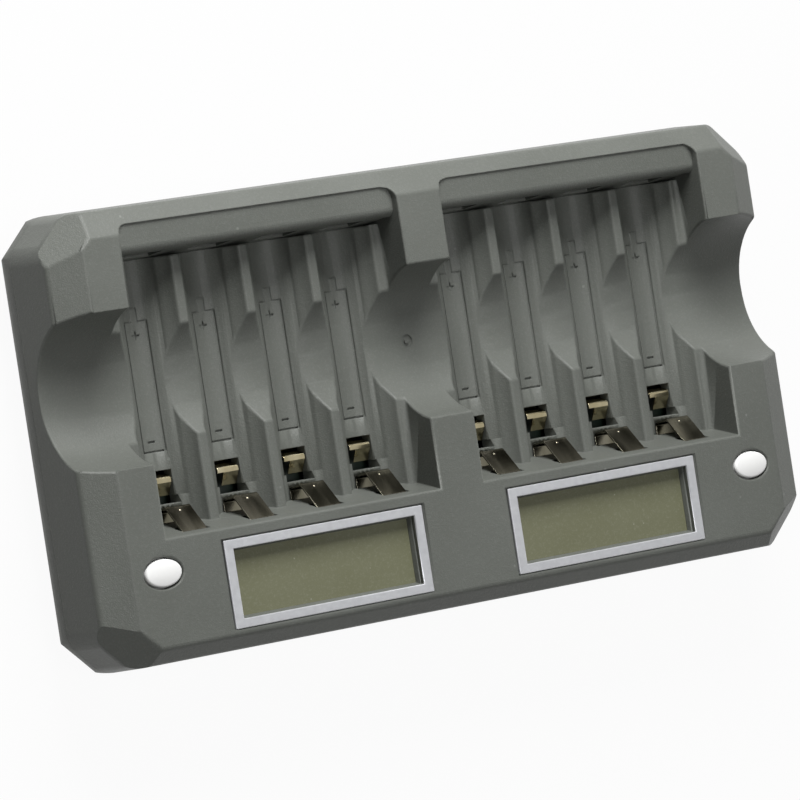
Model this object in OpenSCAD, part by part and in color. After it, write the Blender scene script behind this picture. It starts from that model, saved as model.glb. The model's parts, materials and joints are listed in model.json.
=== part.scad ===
// Eight-cell charger for AA and AAA rechargeable cells, lying on its back with the cell bays facing up.
// +X runs along the length, +Y towards the rear, where the positive ends go, and +Z up through the face.
// The origin is on the resting surface, under the middle of the case.

/* [Case] */
// Length of the case at the parting line
case_l = 175.2; // [162:0.2:200]
// Depth of the case, front to rear, at the parting line
case_w = 90.6; // [84:0.2:110]
// Height of the upper shell above the parting line
cover_h = 15.5; // [14.5:0.1:20]
// Height of the lower shell below the parting line
base_h = 8.5; // [8:0.1:14]
// Wall thickness of both shells
wall = 2; // [1.6:0.1:2.4]
// Draft of the upper shell's walls, in degrees
draft = 3; // [1:0.5:4]
// Drop of the bevel round the face
bevel_drop = 3.7; // [2.5:0.1:4.5]
// Width of the bevel along the two ends
bevel_end = 6.9; // [4:0.1:8]
// Width of the bevel along the rear edge
bevel_rear = 5.3; // [3:0.1:6]
// Width of the bevel along the front edge
bevel_front = 3; // [2:0.1:3.4]
// Cut across each corner, measured along the side
corner_cut = 7; // [4:0.5:9]
// Height of the bevels at the cut corners
corner_drop = 6.5; // [5:0.1:7.5]
// Run of the bevels at the cut corners
bevel_corner = 5.4; // [4.6:0.1:6]
// Radius of the softened edges of the face
edge_r = 1.4; // [0.6:0.1:2]
// Radius of the lower shell's rounded edge
base_r = 7.5; // [4:0.1:7.8]

/* [Cell bays] */
// Distance between the axes of neighbouring cells
pitch = 16; // [15.8:0.05:16.3]
// Width of the divider between the bays
divider_w = 10.75; // [10:0.25:13]
// Distance from a bay's side wall to the first cell axis
side_space = 8.94; // [8.6:0.02:9.4]
// Distance from the front of the case to the bays' front edge
bay_front = 24.85; // [24.4:0.05:30]
// Slope of the bays' front wall, run over rise
front_slope = 0.206; // [0.1:0.002:0.22]
// Distance from the rear of the case to the front edge of the lip over the bays
lip_front = 10.1; // [9.7:0.05:10.5]
// Distance from the rear of the case to the foot of the bays' rear wall
rear_foot = 11.1; // [10.6:0.05:12]
// Radius of the AA cradle
aa_r = 7.45; // [7.35:0.01:7.6]
// Depth of the AA cradle's floor below the face
aa_floor = 13.1; // [12.9:0.05:13.3]
// Radius of the AAA groove
aaa_r = 5.4; // [5.3:0.01:5.5]
// Depth of the AAA groove's floor below the face
aaa_floor = 14.5; // [14.3:0.05:14.7]
// Depth of the ribs' tops below the face
rib_depth = 8.3; // [7.9:0.05:8.8]
// Distance from the bays' front edge to the AAA grooves, where the floor steps down
aaa_step = 7.6; // [7.2:0.05:8]
// Thickness of the bays' floor
floor_t = 2; // [1.5:0.1:2.2]

/* [Finger scoop] */
// Radius of the scoop that crosses the bays
scoop_r = 15.8; // [15:0.1:16.5]
// Distance of the scoop's axis behind the middle of the bays
scoop_y = 2.2; // [0.5:0.05:3.5]
// Height of the scoop's axis above the face
scoop_up = 3.1; // [2.5:0.1:4.4]

/* [Rear lip] */
// Distance from the rear of the case to the lowered strip above the lip
strip_rear = 4.05; // [3.7:0.05:4.5]
// Depth of the strip's rear edge below the face
strip_depth = 1.8; // [1.5:0.1:2.2]
// Fall of the strip from its rear edge to the lip
strip_fall = 0.3; // [0.1:0.1:0.5]
// Radius that rolls the strip over into the lip
lip_r = 1.9; // [1.4:0.1:2.4]
// Depth of the lip's lower edge below the face
lip_depth = 5.6; // [5.2:0.1:6]
// Width of the window in front of each positive contact
window_w = 7.7; // [7:0.1:8.4]
// Height of that window
window_h = 5.4; // [5:0.1:5.6]

/* [Displays] */
// Width of a display frame
bezel_w = 47.8; // [44:0.2:50]
// Depth of a display frame, front to rear
bezel_h = 17.6; // [16:0.2:18]
// Width of the frame's rim along its ends
rim_x = 2.2; // [1.5:0.1:2.6]
// Width of the frame's rim along its long sides
rim_y = 1.9; // [1.5:0.1:2.2]
// Distance from the middle of a button to the middle of the display beside it
display_x = 38.5; // [36:0.1:40]
// Distance from the front of the case to the middle of the displays
display_y = 13.6; // [13.4:0.1:14]
// Thickness of a display frame
bezel_t = 1; // [0.8:0.1:1.2]
// Thickness of a display panel
lcd_t = 2.8; // [2:0.1:3]

/* [Buttons] */
// Width of an oval button
button_w = 8.5; // [7:0.1:9.5]
// Depth of an oval button, front to rear
button_d = 5.5; // [4.5:0.1:6.5]
// Distance from the end of the case to the middle of a button
button_x = 14.5; // [13:0.1:16]
// Distance from the front of the case to the middle of a button
button_y = 18.3; // [16:0.1:19]
// Travel of a button
button_travel = 0.6; // [0.3:0.05:0.8]

/* [Contacts] */
// Thickness of the contact strip
strip_t = 0.35; // [0.3:0.01:0.4]
// Width of an AA contact
aa_contact_w = 5.7; // [5:0.1:6]
// Reach of an AA contact's nose behind the bays' front edge
aa_reach = 5.45; // [5.2:0.05:5.8]
// Depth of an AA contact's nose below the face
aa_nose_depth = 8.8; // [8.2:0.1:9.2]
// Depth of an AA contact's free edge below the face
aa_tip_depth = 3.7; // [3.3:0.1:4.2]
// Width of an AAA contact
aaa_contact_w = 5; // [4.4:0.1:5.2]
// Rise of an AAA contact's crest above the groove's floor
aaa_rise = 0.9; // [0.6:0.05:1.2]
// Width of a positive contact
plus_contact_w = 5.6; // [4.6:0.1:6]

/* [Fasteners and feet] */
// Diameter of the case screws
screw_d = 3; // [2.6:0.1:3.2]
// Diameter of the case screws' heads
screw_head_d = 5.6; // [5:0.1:6]
// Outer diameter of the screw bosses
boss_d = 6; // [5.4:0.1:6.2]
// Diameter of the rubber feet
foot_d = 10; // [8:0.5:12]
// Height of the rubber feet below the case
foot_h = 1; // [0.6:0.1:2]

/* [Clearances] */
// Gap round a fixed piece that is let into another
fit_gap = 0.15; // [0.1:0.05:0.2]
// Gap round a piece that moves
run_gap = 0.3; // [0.25:0.05:0.4]

/* [Hidden] */
$fn = 64;
eps = 0.01;
cells = 4;

part_z = foot_h + base_h;
top_z = part_z + cover_h;
half_l = case_l / 2;
half_w = case_w / 2;
diagonal = (half_l + half_w - corner_cut) / sqrt(2);
far = case_l * 2;

bay_in = divider_w / 2;
bay_out = bay_in + 2 * side_space + (cells - 1) * pitch;
bay_w = bay_out - bay_in;
bay_mid = (bay_in + bay_out) / 2;
front_y = bay_front - half_w;
step_y = front_y + aaa_step;
lip_front_y = half_w - lip_front;
foot_y = half_w - rear_foot;
strip_rear_y = half_w - strip_rear;
scoop_axis = [(front_y + lip_front_y) / 2 + scoop_y, top_z + scoop_up];
right_cells = [for (i = [0 : cells - 1]) bay_in + side_space + i * pitch];
cell_x = concat(-flip(right_cells), right_cells);

aa_axis = top_z - aa_floor + aa_r;
aaa_bed = top_z - aaa_floor;
aaa_axis = aaa_bed + aaa_r;
rib_z = top_z - rib_depth;
floor_z = aaa_bed - floor_t;
lip_z = top_z - lip_depth;
strip_z = top_z - strip_depth - strip_fall;
strip_corner_r = 2.6;
strip_over = 0.5;

button_at = [half_l - button_x, button_y - half_w];
display_at = [button_at.x - display_x, display_y - half_w];
display_lean = 0.75;
seat_wall = 1;
seat_gap = 0.2;
lcd_gap = 0.4;
lcd_side = 1.1;
lcd_end = 0.6;
lcd_ledge = 2;
lcd_w = bezel_w - 2 * lcd_side;
lcd_h = bezel_h - 2 * lcd_end;
lcd_z = top_z - wall - lcd_gap;
connector_w = 2;
connector_h = 3;
connector_in = 1.5;
display_board_t = 1.2;
display_board_z = lcd_z - lcd_t - connector_h;
display_board_end = 9.6;
display_board_y = [-9.6, 7.6];

front_wall_y = display_at.y + bezel_h / 2 + seat_gap;
rear_wall_t = 4.15;
rear_wall_y = foot_y + rear_wall_t;

slot_l = 5.15;
slot_w = aaa_contact_w + 2 * run_gap + seat_gap;
notch_l = 1.55;
notch_w = 6.8;
slot_over = 1.2;
bead_r = 0.45;
foot_rise = 0.45;
heel_back = 0.7;
aa_nose = [front_y + aa_reach, top_z - aa_nose_depth];
aa_tip = [front_y + bead_r, top_z - aa_tip_depth];
aa_root = [front_y + bead_r, top_z - aa_floor + foot_rise];
aa_heel = [aa_nose.x - heel_back, aa_root.y];
aa_bend_r = 0.55;
aa_dimple_at = 1.1;
pocket_w = aa_contact_w + 2 * run_gap;
pocket_depth = 1.8;
pocket_over = 1;
pocket_under = 2.9;
foot_slot_h = 1.6;

aaa_crest_in = 3.6;
aaa_root_in = 8.25;
aaa_root_under = 0.6;
aaa_ramp = 1.1;
aaa_shoulder = [0.9, 0.12];
aaa_leg_sunk = 0.7;
aaa_crest = [step_y + aaa_crest_in, aaa_bed + aaa_rise];
aaa_root = [step_y + aaa_root_in, floor_z - aaa_root_under];
aaa_turn = [aaa_crest.x + aaa_ramp, aaa_root.y];
aaa_knee = aaa_crest - aaa_shoulder;
aaa_leg_top = aaa_crest - aaa_shoulder / 2;
aaa_leg_end = [step_y + fit_gap, aaa_bed - aaa_leg_sunk];
aaa_leg_w = aaa_contact_w * 0.72;
aaa_bend_r = 0.5;

window_top = lip_z - run_gap;
plus_in = 1;
plus_top = window_top - 0.4;
plus_low = window_top - window_h + 0.6;
plus_y = foot_y + plus_in + strip_t / 2;
plus_tail_y = rear_wall_y + run_gap + strip_t / 2;
plus_bend_r = 0.4;

post_d = screw_head_d + 2.4;
head_depth = 3.2;
head_t = 2;
head_room = 0.6;
pilot_depth = 8;
pilot_less = 0.5;
shank_less = 0.55;
shank_room = 1.5;
cross_w = 0.8;
cross_l = 3;
cross_t = 1.2;
front_screw_in = [23.6, 8.3];
front_screw = [half_l - front_screw_in.x, front_screw_in.y - half_w];
rear_screw_in = [2, 9.1];
rear_screw = [(bay_out + half_l) / 2 - rear_screw_in.x, half_w - rear_screw_in.y];
screw_spots = [for (side = [-1, 1], p = [front_screw, rear_screw]) [side * p.x, p.y]];
hanger_d = 4;
hanger_l = 4;
hanger_in = [0.5, 14.8];
end_hanger = [front_screw.x - hanger_in.x, hanger_in.y - half_w];
hanger_spots = [[-end_hanger.x, end_hanger.y], [0, display_at.y], end_hanger];

board_t = 1.6;
board_drop = 1.7;
board_z = floor_z - board_drop;
board_gap = 0.9;
board_in = [12.3, 5.3];
board_x = rear_screw.x - post_d / 2 - board_gap;
board_y = [board_in[0] - half_w, half_w - board_in[1]];
board_post_d = 5;
board_post_z = foot_h + wall / 2;
board_post_in = [12.5, 7, 9];
board_post_y = [board_y[0] + board_post_in[1], board_y[1] - board_post_in[2]];
board_spots = [for (side = [-1, 1], y = board_post_y) [side * (board_x - board_post_in[0]), y]];
small_screw_d = 1.5;
small_pilot_d = 1.7;
small_hole_d = 2.2;
small_head = [3.6, 1.2];
small_grip = 0.4;

foot_sunk = 0.6;
foot_edge = 0.4;
foot_in = [21.6, 18.3];
foot_spots = [for (x = [-1, 1], y = [-1, 1]) [x * (half_l - foot_in.x), y * (half_w - foot_in.y)]];

vent_x = 32;
vent_y = 4;
vent_l = 24;
vent_w = 1.6;
vent_pitch = 4.5;
vents_each_side = 4;

jack_in = 18;
jack_y = half_w - jack_in;
jack_w = 9;
jack_h = 9;
jack_z = board_z + jack_h / 2;
jack_collar_d = 8;
jack_socket_d = 6;
jack_pin_d = 2;
jack_back = bay_out + wall + run_gap;
jack_body_end = half_l - wall - 0.9;
end_lean = (cover_h - bevel_drop) * tan(draft);
jack_front = half_l - end_lean - 1.6;
jack_bottom_t = 3;
jack_pin_less = 1;

button_rise = 0.6;
button_dome_r = 22;
button_rim = 0.6;
button_facets = 6;
button_flange = 1;
button_flange_t = 0.8;
button_drop = 0.5;
button_stem_d = 3.4;
button_low = top_z - wall - 1.6;
switch_w = 6;
switch_plunger_d = 3.2;
switch_plunger_h = 0.6;
switch_gap = 0.1;

can_d = 6.3;
can_h = 6.5;
can_spots = [-20, -12, 12, 20];
coil_d = 7.6;
coil_h = 5;
coil_groove = 1;
coil_core_d = 5.2;
coil_spots = [-48, -36, 36, 48];
parts_row = 4.5;

plastic = [0.30, 0.31, 0.30];
dark_plastic = [0.24, 0.25, 0.24];
silver = [0.72, 0.73, 0.75];
nickel = [0.78, 0.75, 0.66];

// Rounding of outlines and bent strips

function unit(v) = v / norm(v);

// Points of the arc that rounds the corner b between a and c
function corner_arc(a, b, c, r, n) =
    let (u = unit(a - b), w = unit(c - b), half = acos(u * w) / 2)
    let (centre = b + unit(u + w) * r / sin(half), start = b + u * r / tan(half) - centre)
    let (turn = -sign(cross(u, w)) * (180 - 2 * half))
    [for (i = [0 : n]) centre + [
        start.x * cos(turn * i / n) - start.y * sin(turn * i / n),
        start.x * sin(turn * i / n) + start.y * cos(turn * i / n)]];

// A closed outline with each corner rounded by its own radius
function rounded(points, radii, n = 4) =
    let (m = len(points))
    [for (i = [0 : m - 1]) each (radii[i] == 0
        ? [points[i]]
        : corner_arc(points[(i + m - 1) % m], points[i], points[(i + 1) % m], radii[i], n))];

// An open path with its inner corners rounded
function bent(points, r, n = 5) =
    let (m = len(points))
    [for (i = [0 : m - 1]) each (i == 0 || i == m - 1
        ? [points[i]]
        : corner_arc(points[i - 1], points[i], points[i + 1], r, n))];

// The path moved sideways by d, with mitred corners
function beside(path, d) =
    let (m = len(path))
    [for (i = [0 : m - 1])
        let (p = unit(path[min(i + 1, m - 1)] - path[min(i, m - 2)]))
        let (q = unit(path[max(i, 1)] - path[max(i - 1, 0)]))
        let (s = unit(p + q), h = d / max(s * p, 0.2))
        path[i] + [-s.y, s.x] * h];

function flip(list) = [for (i = [len(list) - 1 : -1 : 0]) list[i]];

function oval(w, d, n = 48) = [for (i = [0 : n - 1]) [w / 2 * cos(i * 360 / n), d / 2 * sin(i * 360 / n)]];

// A profile in the Y and Z plane, drawn out along X about the middle
module along_x(length) {
    rotate([90, 0, 90]) linear_extrude(length, center = true) children();
}

// A profile in the X and Z plane, drawn out along Y about the middle
module along_y(length) {
    rotate([90, 0, 0]) linear_extrude(length, center = true) children();
}

// A strip of sheet bent along a path in the Y and Z plane
module strip(path, r, w) {
    line = bent(path, r);
    along_x(w) polygon(concat(beside(line, strip_t / 2), flip(beside(line, -strip_t / 2))));
}

// Outer forms of the two shells

// Section of the upper shell between two drafted and bevelled walls
function cover_section(half, bevel_low, bevel_high, drop, low, inset) =
    let (run = (cover_h - drop) * tan(draft))
    let (shoulder = top_z - drop - inset * 0.4, slim = inset * 0.4)
    rounded([
        [-half + inset, low],
        [half - inset, low],
        [half - inset, part_z],
        [half - run - inset, shoulder],
        [half - run - bevel_high - slim, top_z - inset],
        [-half + run + bevel_low + slim, top_z - inset],
        [-half + run + inset, shoulder],
        [-half + inset, part_z]],
        [0, 0, 0, edge_r, edge_r, edge_r, edge_r, 0]);

// The upper shell's form: four drafted sections crossing each other
module cover_form(inset = 0, low = part_z) {
    intersection() {
        along_y(far) polygon(cover_section(half_l, bevel_end, bevel_end, bevel_drop, low, inset));
        along_x(far) polygon(cover_section(half_w, bevel_front, bevel_rear, bevel_drop, low, inset));
        for_corners() along_y(far)
            polygon(cover_section(diagonal, bevel_corner, bevel_corner, corner_drop, low, inset));
    }
}

// Section of the lower shell with its rounded edges
function base_section(half, inset) = rounded([
    [-half + inset, foot_h + inset],
    [half - inset, foot_h + inset],
    [half - inset, part_z],
    [-half + inset, part_z]],
    [base_r - inset / 2, base_r - inset / 2, 0, 0], 8);

module base_form(inset = 0) {
    intersection() {
        along_y(far) polygon(base_section(half_l, inset));
        along_x(far) polygon(base_section(half_w, inset));
        for_corners() along_y(far) polygon(base_section(diagonal, inset));
    }
}

// The same section turned to each of the two diagonals
module for_corners() {
    intersection() {
        rotate(45) children();
        rotate(-45) children();
    }
}

// Upper shell

// Profile of a bay between its sloping front wall and its rear wall under the lip
module bay_profile(low) {
    polygon([
        [front_y + front_slope * (top_z - low), low],
        [foot_y, low],
        [foot_y, aaa_bed],
        [lip_front_y, lip_z],
        [lip_front_y, top_z + 1],
        [front_y - front_slope, top_z + 1]]);
}

// One bay's hollow: the open space above the ribs, and a two-level cradle for each cell
module bay_cut(side) {
    translate([side * bay_mid, 0, 0]) along_x(bay_w) bay_profile(rib_z);
    for (x = right_cells) translate([side * x, 0, 0]) {
        intersection() {
            along_x(2 * aa_r) bay_profile(aaa_bed - eps);
            translate([0, 0, aa_axis]) rotate([90, 0, 0]) cylinder(r = aa_r, h = far, center = true);
        }
        translate([0, step_y, aaa_axis]) rotate([-90, 0, 0]) cylinder(r = aaa_r, h = foot_y - step_y);
    }
}

// A box given by its width about the place x and its two ends front to rear and in height
module slot(x, w, y, z) {
    translate([x - w / 2, y[0], z[0]]) cube([w, y[1] - y[0], z[1] - z[0]]);
}

// Slots and pockets that let a cell's contacts through at the place x
module contact_cuts(x) {
    low = floor_z - 1;
    foot_low = aa_root.y - bead_r - switch_gap;
    slot(x, slot_w, [step_y - eps, step_y + slot_l], [low, aaa_bed + slot_over]);
    slot(x, notch_w, [step_y - notch_l, step_y], [low, top_z - aa_floor + slot_over]);
    pocket_z = [aa_tip.y - pocket_under, aa_tip.y + pocket_over];
    slot(x, pocket_w, [front_y - pocket_depth, front_y + 2], pocket_z);
    slot(x, pocket_w, [front_wall_y - 1, aa_heel.x + 2 * run_gap], [foot_low, foot_low + foot_slot_h]);
    slot(x, window_w, [foot_y - 1, rear_wall_y + seat_gap], [window_top - window_h, window_top]);
}

// Section of the hollow above the sloping strip, which rolls over into the lip
module strip_profile() {
    rise = strip_fall * lip_front / (lip_front - strip_rear);
    polygon(rounded([
        [lip_front_y - strip_over, top_z + 1],
        [lip_front_y - strip_over, lip_z],
        [lip_front_y, lip_z],
        [lip_front_y, strip_z],
        [half_w, strip_z + rise],
        [half_w, top_z + 1]],
        [0, 0, 0, lip_r, 0, 0], 8));
}

// The hollow above the lip, with rounded rear corners
module strip_cut(side) {
    translate([side * bay_mid, 0, 0]) intersection() {
        along_x(bay_w) strip_profile();
        translate([0, 0, lip_z - 1]) linear_extrude(top_z - lip_z + 3) polygon(rounded([
            [-bay_w / 2, lip_front_y - 2],
            [bay_w / 2, lip_front_y - 2],
            [bay_w / 2, strip_rear_y],
            [-bay_w / 2, strip_rear_y]],
            [0, 0, strip_corner_r, strip_corner_r]));
    }
}

// Four walls that lean in towards a display's panel, seen along one of the two axes
module leaning(open, sill) {
    polygon([
        [-open + display_lean, lcd_z - 1],
        [open - display_lean, lcd_z - 1],
        [open, sill],
        [-open, sill]]);
}

// A display's seat, with walls that slope in towards the panel
module display_cut(side) {
    sill = top_z - bezel_t;
    translate([side * display_at.x, display_at.y, 0]) {
        translate([-bezel_w / 2 - fit_gap, -bezel_h / 2 - fit_gap, sill])
            cube([bezel_w + 2 * fit_gap, bezel_h + 2 * fit_gap, bezel_t + 1]);
        intersection() {
            along_y(far) leaning(bezel_w / 2 - rim_x, sill + eps);
            along_x(far) leaning(bezel_h / 2 - rim_y, sill + eps);
        }
    }
}

module button_hole(side) {
    translate([side * button_at.x, button_at.y, top_z - 2 * wall]) linear_extrude(3 * wall)
        polygon(oval(button_w + 2 * run_gap, button_d + 2 * run_gap));
}

module top_cover() {
    color(plastic) difference() {
        union() {
            difference() {
                cover_form();
                cover_form(wall, part_z - 1);
            }
            intersection() {
                cover_form(0, floor_z);
                cradle_block();
            }
            for (side = [-1, 1]) translate([side * display_at.x, display_at.y, (lcd_z + top_z) / 2])
                cube(
                    [bezel_w + 2 * seat_wall, bezel_h + 2 * seat_gap, top_z - lcd_z - 2 * eps],
                    center = true);
            for (p = screw_spots) translate([p.x, p.y, part_z]) cylinder(d = boss_d, h = cover_h - wall / 2);
            for (p = hanger_spots) translate([p.x, p.y, display_board_z])
                cylinder(d = hanger_d, h = top_z - wall / 2 - display_board_z);
        }
        for (side = [-1, 1]) {
            bay_cut(side);
            strip_cut(side);
            display_cut(side);
            button_hole(side);
        }
        scoop(0);
        for (x = cell_x) contact_cuts(x);
        for (p = screw_spots) translate([p.x, p.y, 0]) {
            cylinder(d = screw_d - pilot_less, h = part_z + pilot_depth);
            cylinder(d = post_d + 2 * fit_gap, h = part_z);
        }
        for (p = hanger_spots) translate([p.x, p.y, display_board_z - eps])
            cylinder(d = small_screw_d + switch_gap, h = hanger_l);
        jack_hole();
        jack_space();
    }
}

// The finger scoop's round form, or with extra the stock that lies under it
module scoop(extra) {
    translate([0, scoop_axis.x, scoop_axis.y]) rotate([0, 90, 0])
        cylinder(r = scoop_r + extra, h = far, center = true, $fn = 96);
}

// Solid stock for the cell cradle, its rear lip and the shell under the finger scoop
module cradle_block() {
    for (side = [-1, 1]) {
        x = side * bay_mid;
        slot(x, bay_w + 2 * wall, [front_wall_y, rear_wall_y], [floor_z, top_z]);
        slot(x, bay_w + 2 * wall, [lip_front_y - 2, half_w], [lip_z - 2, top_z]);
    }
    scoop(wall);
}

module jack_hole() {
    translate([bay_out + wall, jack_y, jack_z]) rotate([0, 90, 0])
        cylinder(d = jack_collar_d + 2 * fit_gap, h = half_l);
}

// Room for the inlet's body behind the end wall
module jack_space() {
    translate([jack_back, jack_y - jack_w / 2, board_z]) translate([-fit_gap, -fit_gap, -fit_gap])
        cube([jack_body_end - jack_back + 2 * fit_gap, jack_w + 2 * fit_gap, jack_h + 2 * fit_gap]);
}

// Lower shell

module bottom_cover() {
    color(dark_plastic) difference() {
        union() {
            difference() {
                base_form();
                translate([0, 0, eps]) base_form(wall);
                translate([0, 0, part_z - eps]) cube([far, far, 2 * eps], center = true);
            }
            for (p = screw_spots) intersection() {
                base_form();
                translate([p.x, p.y, foot_h]) cylinder(d = post_d, h = base_h - 2 * eps);
            }
            for (p = board_spots) translate([p.x, p.y, board_post_z])
                cylinder(d = board_post_d, h = board_z - board_t - board_post_z);
        }
        for (p = screw_spots) translate([p.x, p.y, 0]) {
            cylinder(d = screw_d + small_grip, h = part_z + 1);
            cylinder(d = screw_head_d + head_room, h = foot_h + head_depth);
        }
        for (p = board_spots) translate([p.x, p.y, foot_h + wall]) cylinder(d = small_pilot_d, h = base_h);
        for (p = foot_spots) translate([p.x, p.y, 0])
            cylinder(d = foot_d + 2 * fit_gap, h = foot_h + foot_sunk);
        vent_slots();
        jack_hole();
    }
}

// Two rows of cooling slots through the underside
module vent_slots() {
    through = foot_h + wall + 2;
    for (side = [-1, 1], i = [-vents_each_side : vents_each_side])
        translate([side * vent_x + i * vent_pitch, vent_y, -1]) {
            translate([-vent_w / 2, -vent_l / 2, 0]) cube([vent_w, vent_l, through]);
            for (end = [-1, 1]) translate([0, end * vent_l / 2, 0])
                cylinder(d = vent_w, h = through, $fn = 24);
        }
}

module rubber_feet() {
    color([0.1, 0.1, 0.1]) for (p = foot_spots) translate([p.x, p.y, 0]) {
        cylinder(d1 = foot_d - 2 * foot_edge, d2 = foot_d, h = foot_edge);
        translate([0, 0, foot_edge]) cylinder(d = foot_d, h = foot_h + foot_sunk - foot_edge);
    }
}

module cover_screws() {
    color(nickel) for (p = screw_spots) translate([p.x, p.y, foot_h + head_depth]) {
        difference() {
            translate([0, 0, -head_t]) cylinder(d = screw_head_d, h = head_t);
            for (turn = [0, 90]) rotate(turn) translate([0, 0, -head_t])
                cube([cross_l, cross_w, 2 * cross_t], center = true);
        }
        translate([0, 0, -eps])
            cylinder(d = screw_d - shank_less, h = base_h - head_depth + pilot_depth - shank_room);
    }
}

// Displays

module display_frame(side) {
    color(silver) translate([side * display_at.x, display_at.y, top_z - bezel_t]) difference() {
        translate([-bezel_w / 2, -bezel_h / 2, 0]) cube([bezel_w, bezel_h, bezel_t]);
        translate([-bezel_w / 2 + rim_x, -bezel_h / 2 + rim_y, -1])
            cube([bezel_w - 2 * rim_x, bezel_h - 2 * rim_y, bezel_t + 2]);
    }
}

module lcd_panel(side) {
    glass_t = lcd_t / 2;
    color([0.43, 0.44, 0.35]) translate([side * display_at.x, display_at.y, lcd_z]) {
        translate([-lcd_w / 2, (lcd_ledge - lcd_h) / 2, -glass_t]) cube([lcd_w, lcd_h - lcd_ledge, glass_t]);
        translate([-lcd_w / 2, -lcd_h / 2, -lcd_t]) cube([lcd_w, lcd_h, lcd_t - glass_t]);
    }
}

module lcd_connectors() {
    edge_y = lcd_h / 2 - connector_in;
    color([0.9, 0.6, 0.65]) for (side = [-1, 1], edge = [-1, 1])
        translate([side * display_at.x, display_at.y + edge * edge_y, display_board_z + connector_h / 2])
            cube([lcd_w - 2 * connector_w, connector_w, connector_h], center = true);
}

module display_board() {
    end_x = half_l - display_board_end;
    color([0.1, 0.35, 0.2]) difference() {
        translate([-end_x, display_at.y + display_board_y[0], display_board_z - display_board_t])
            cube([2 * end_x, display_board_y[1] - display_board_y[0], display_board_t]);
        for (side = [-1, 1]) translate([side * front_screw.x, front_screw.y, 0])
            cylinder(d = boss_d + 1, h = top_z);
        for (p = hanger_spots) translate([p.x, p.y, 0]) cylinder(d = small_hole_d, h = top_z);
    }
}

module board_screws() {
    color(nickel) {
        for (p = hanger_spots) translate([p.x, p.y, display_board_z - display_board_t]) {
            translate([0, 0, -small_head[1]]) cylinder(d = small_head[0], h = small_head[1]);
            translate([0, 0, -eps]) cylinder(d = small_screw_d, h = hanger_l);
        }
        shank = board_z - foot_h - wall - small_grip;
        for (p = board_spots) translate([p.x, p.y, board_z]) {
            cylinder(d = small_head[0], h = small_head[1]);
            translate([0, 0, -shank]) cylinder(d = small_screw_d, h = shank + eps);
        }
    }
}

// Buttons

// Half of a button's section: a straight side, a rounded rim and a slightly domed top
module button_profile(low) {
    half = button_w / 2;
    dome_z = top_z + button_rise - button_dome_r;
    dome = [for (i = [button_facets : -1 : 0])
        let (x = half * i / button_facets)
        [x, dome_z + sqrt(pow(button_dome_r, 2) - x * x)]];
    outline = concat([[0, low], [half, low]], dome);
    polygon(rounded(outline, [for (i = [0 : len(outline) - 1]) i == 2 ? button_rim : 0], 6));
}

module button(side) {
    shell_low = top_z - wall - button_drop;
    color([0.93, 0.93, 0.92]) translate([side * button_at.x, button_at.y, 0]) {
        scale([1, button_d / button_w, 1]) rotate_extrude($fn = 72) button_profile(shell_low);
        translate([0, 0, button_low + button_drop]) linear_extrude(button_flange_t)
            polygon(oval(button_w + 2 * button_flange, button_d + 2 * button_flange));
        translate([0, 0, button_low]) cylinder(d = button_stem_d, h = button_drop + switch_gap);
    }
}

module tact_switch(side) {
    height = button_low - button_travel - switch_gap - display_board_z;
    color([0.15, 0.15, 0.16]) translate([side * button_at.x, button_at.y, display_board_z]) {
        translate([-switch_w / 2, -switch_w / 2, 0]) cube([switch_w, switch_w, height - switch_plunger_h]);
        cylinder(d = switch_plunger_d, h = height);
    }
}

// Circuit board and what stands on it

module main_board() {
    color([0.1, 0.35, 0.2]) difference() {
        translate([0, 0, board_z - board_t]) linear_extrude(board_t) {
            translate([-board_x, board_y[0]]) square([2 * board_x, board_y[1] - board_y[0]]);
            translate([board_x - 1, jack_y - jack_w / 2]) square([jack_back - board_x + jack_w, jack_w]);
        }
        for (p = board_spots) translate([p.x, p.y, 0]) cylinder(d = small_hole_d, h = top_z);
    }
}

module dc_jack() {
    color([0.08, 0.08, 0.08]) difference() {
        union() {
            translate([jack_back, jack_y - jack_w / 2, board_z])
                cube([jack_body_end - jack_back, jack_w, jack_h]);
            translate([jack_back + 1, jack_y, jack_z]) rotate([0, 90, 0])
                cylinder(d = jack_collar_d, h = jack_front - jack_back - 1);
        }
        translate([jack_back + jack_bottom_t, jack_y, jack_z]) rotate([0, 90, 0])
            cylinder(d = jack_socket_d, h = half_l);
    }
    color(nickel) translate([jack_back + jack_bottom_t - 0.5, jack_y, jack_z]) rotate([0, 90, 0])
        cylinder(d = jack_pin_d, h = jack_front - jack_back - jack_bottom_t - jack_pin_less);
}

module filter_capacitors() {
    color([0.12, 0.13, 0.2]) for (x = can_spots)
        translate([x, board_y[0] + parts_row, board_z]) cylinder(d = can_d, h = can_h);
}

module power_coils() {
    color([0.2, 0.2, 0.2]) for (x = coil_spots)
        translate([x, board_y[0] + parts_row, board_z]) difference() {
            cylinder(d = coil_d, h = coil_h);
            translate([0, 0, coil_groove]) rotate_extrude() translate([coil_core_d / 2, 0])
                square([coil_d, coil_h - 2 * coil_groove]);
        }
}

// Contacts

// Sprung negative contact for an AA cell: a foot in the front wall, a riser, and a limb that leans back
module aa_contact(x) {
    limb = unit(aa_tip - aa_nose);
    dimple = aa_nose + limb * aa_dimple_at + [limb.y, -limb.x] * -strip_t / 2;
    color(nickel) translate([x, 0, 0]) {
        strip([aa_root, aa_heel, aa_nose, aa_tip], aa_bend_r, aa_contact_w);
        translate([0, aa_root.x, aa_root.y]) rotate([0, 90, 0])
            cylinder(r = bead_r, h = aa_contact_w, center = true);
        translate([0, dimple.x, dimple.y]) sphere(r = bead_r, $fn = 24);
    }
}

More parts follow.
